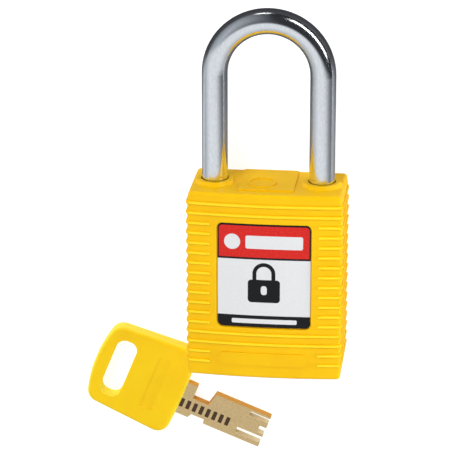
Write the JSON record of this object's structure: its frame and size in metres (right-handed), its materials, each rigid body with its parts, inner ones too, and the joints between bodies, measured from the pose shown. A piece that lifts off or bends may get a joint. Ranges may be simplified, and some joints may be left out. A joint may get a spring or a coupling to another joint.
{
  "type": "safety lockout padlock",
  "caption": "Ribbed nylon-bodied lockout padlock with a tall steel shackle, key-turned cylinder and ball locking, lying beside its key.",
  "frame": {"origin": "middle of the padlock's flat back face, on the surface it lies on", "axes": "+Y from the base towards the shackle, +Z out of the front label, +X to the right as the label is read"},
  "size_m": [0.0672, 0.1193, 0.0204],
  "materials": {
    "yellow_nylon": "moulded nylon, fine satin texture",
    "key_nylon": "moulded nylon, satin",
    "plated_steel": "bright plated steel",
    "zinc_steel": "zinc plated",
    "spring_steel": "drawn wire",
    "bearing_steel": "polished",
    "cast_zinc": "die cast, satin",
    "lock_brass": "turned brass",
    "key_metal": "nickel silver, satin, warm cut edges",
    "label_film": "printed laminated film",
    "plain_label": "laminated film"
  },
  "bodies": {
    "body": {"body_shell": "yellow_nylon", "base_cover": "yellow_nylon", "cover_screws": "zinc_steel", "front_label": "label_film", "back_label": "plain_label", "cylinder_barrel": "cast_zinc", "barrel_pin": "zinc_steel", "ball_guide": "cast_zinc", "heel_retaining_pin": "zinc_steel", "spring_seat": "zinc_steel", "shackle_spring": "spring_steel"},
    "cylinder_plug": {"plug": "lock_brass", "plug_clip": "spring_steel", "actuator_cam": "cast_zinc", "upper_slider_spring": "spring_steel", "middle_slider_spring": "spring_steel", "lower_slider_spring": "spring_steel"},
    "slider_upper": {"upper_slider": "lock_brass"},
    "slider_middle": {"middle_slider": "lock_brass"},
    "slider_lower": {"lower_slider": "lock_brass"},
    "shackle_bar": {"shackle": "plated_steel"},
    "ball_heel": {"heel_ball": "bearing_steel"},
    "ball_toe": {"toe_ball": "bearing_steel"},
    "key": {"key_bow": "key_nylon", "key_blade": "key_metal"}
  },
  "joints": [
    {"name": "plug_turn", "type": "hinge", "parent": "body", "child": "cylinder_plug", "pos_m": [0, 0, 0.01], "axis": [0, 1, 0], "range_deg": [0, 90]},
    {"name": "shackle_lift", "type": "slide", "parent": "body", "child": "shackle_bar", "axis": [0, 1, 0], "range_m": [0, 0.0112], "deforming": ["shackle_spring"]},
    {"name": "heel_ball_travel", "type": "slide", "parent": "body", "child": "ball_heel", "axis": [1, 0, 0], "range_m": [0, 0.0016]},
    {"name": "toe_ball_travel", "type": "slide", "parent": "body", "child": "ball_toe", "axis": [-1, 0, 0], "range_m": [0, 0.0016]},
    {"name": "upper_slider_push", "type": "slide", "parent": "cylinder_plug", "child": "slider_upper", "axis": [0, 1, 0], "range_m": [0, 0.003], "stiffness_N_per_m": 40, "springref_m": -0.002, "deforming": ["upper_slider_spring"]},
    {"name": "middle_slider_push", "type": "slide", "parent": "cylinder_plug", "child": "slider_middle", "axis": [0, 1, 0], "range_m": [0, 0.003], "stiffness_N_per_m": 40, "springref_m": -0.002, "deforming": ["middle_slider_spring"]},
    {"name": "lower_slider_push", "type": "slide", "parent": "cylinder_plug", "child": "slider_lower", "axis": [0, 1, 0], "range_m": [0, 0.003], "stiffness_N_per_m": 40, "springref_m": -0.002, "deforming": ["lower_slider_spring"]},
    {"name": "key_lift", "type": "slide", "parent": "body", "child": "key", "axis": [0, 0, 1], "range_m": [0, 0.06]}
  ],
  "couplings": [
    {"joint": "plug_turn", "follows": "shackle_lift", "rad_per_m": 140.25},
    {"joint": "heel_ball_travel", "follows": "shackle_lift", "ratio": 0.14286},
    {"joint": "toe_ball_travel", "follows": "shackle_lift", "ratio": 0.14286}
  ]
}
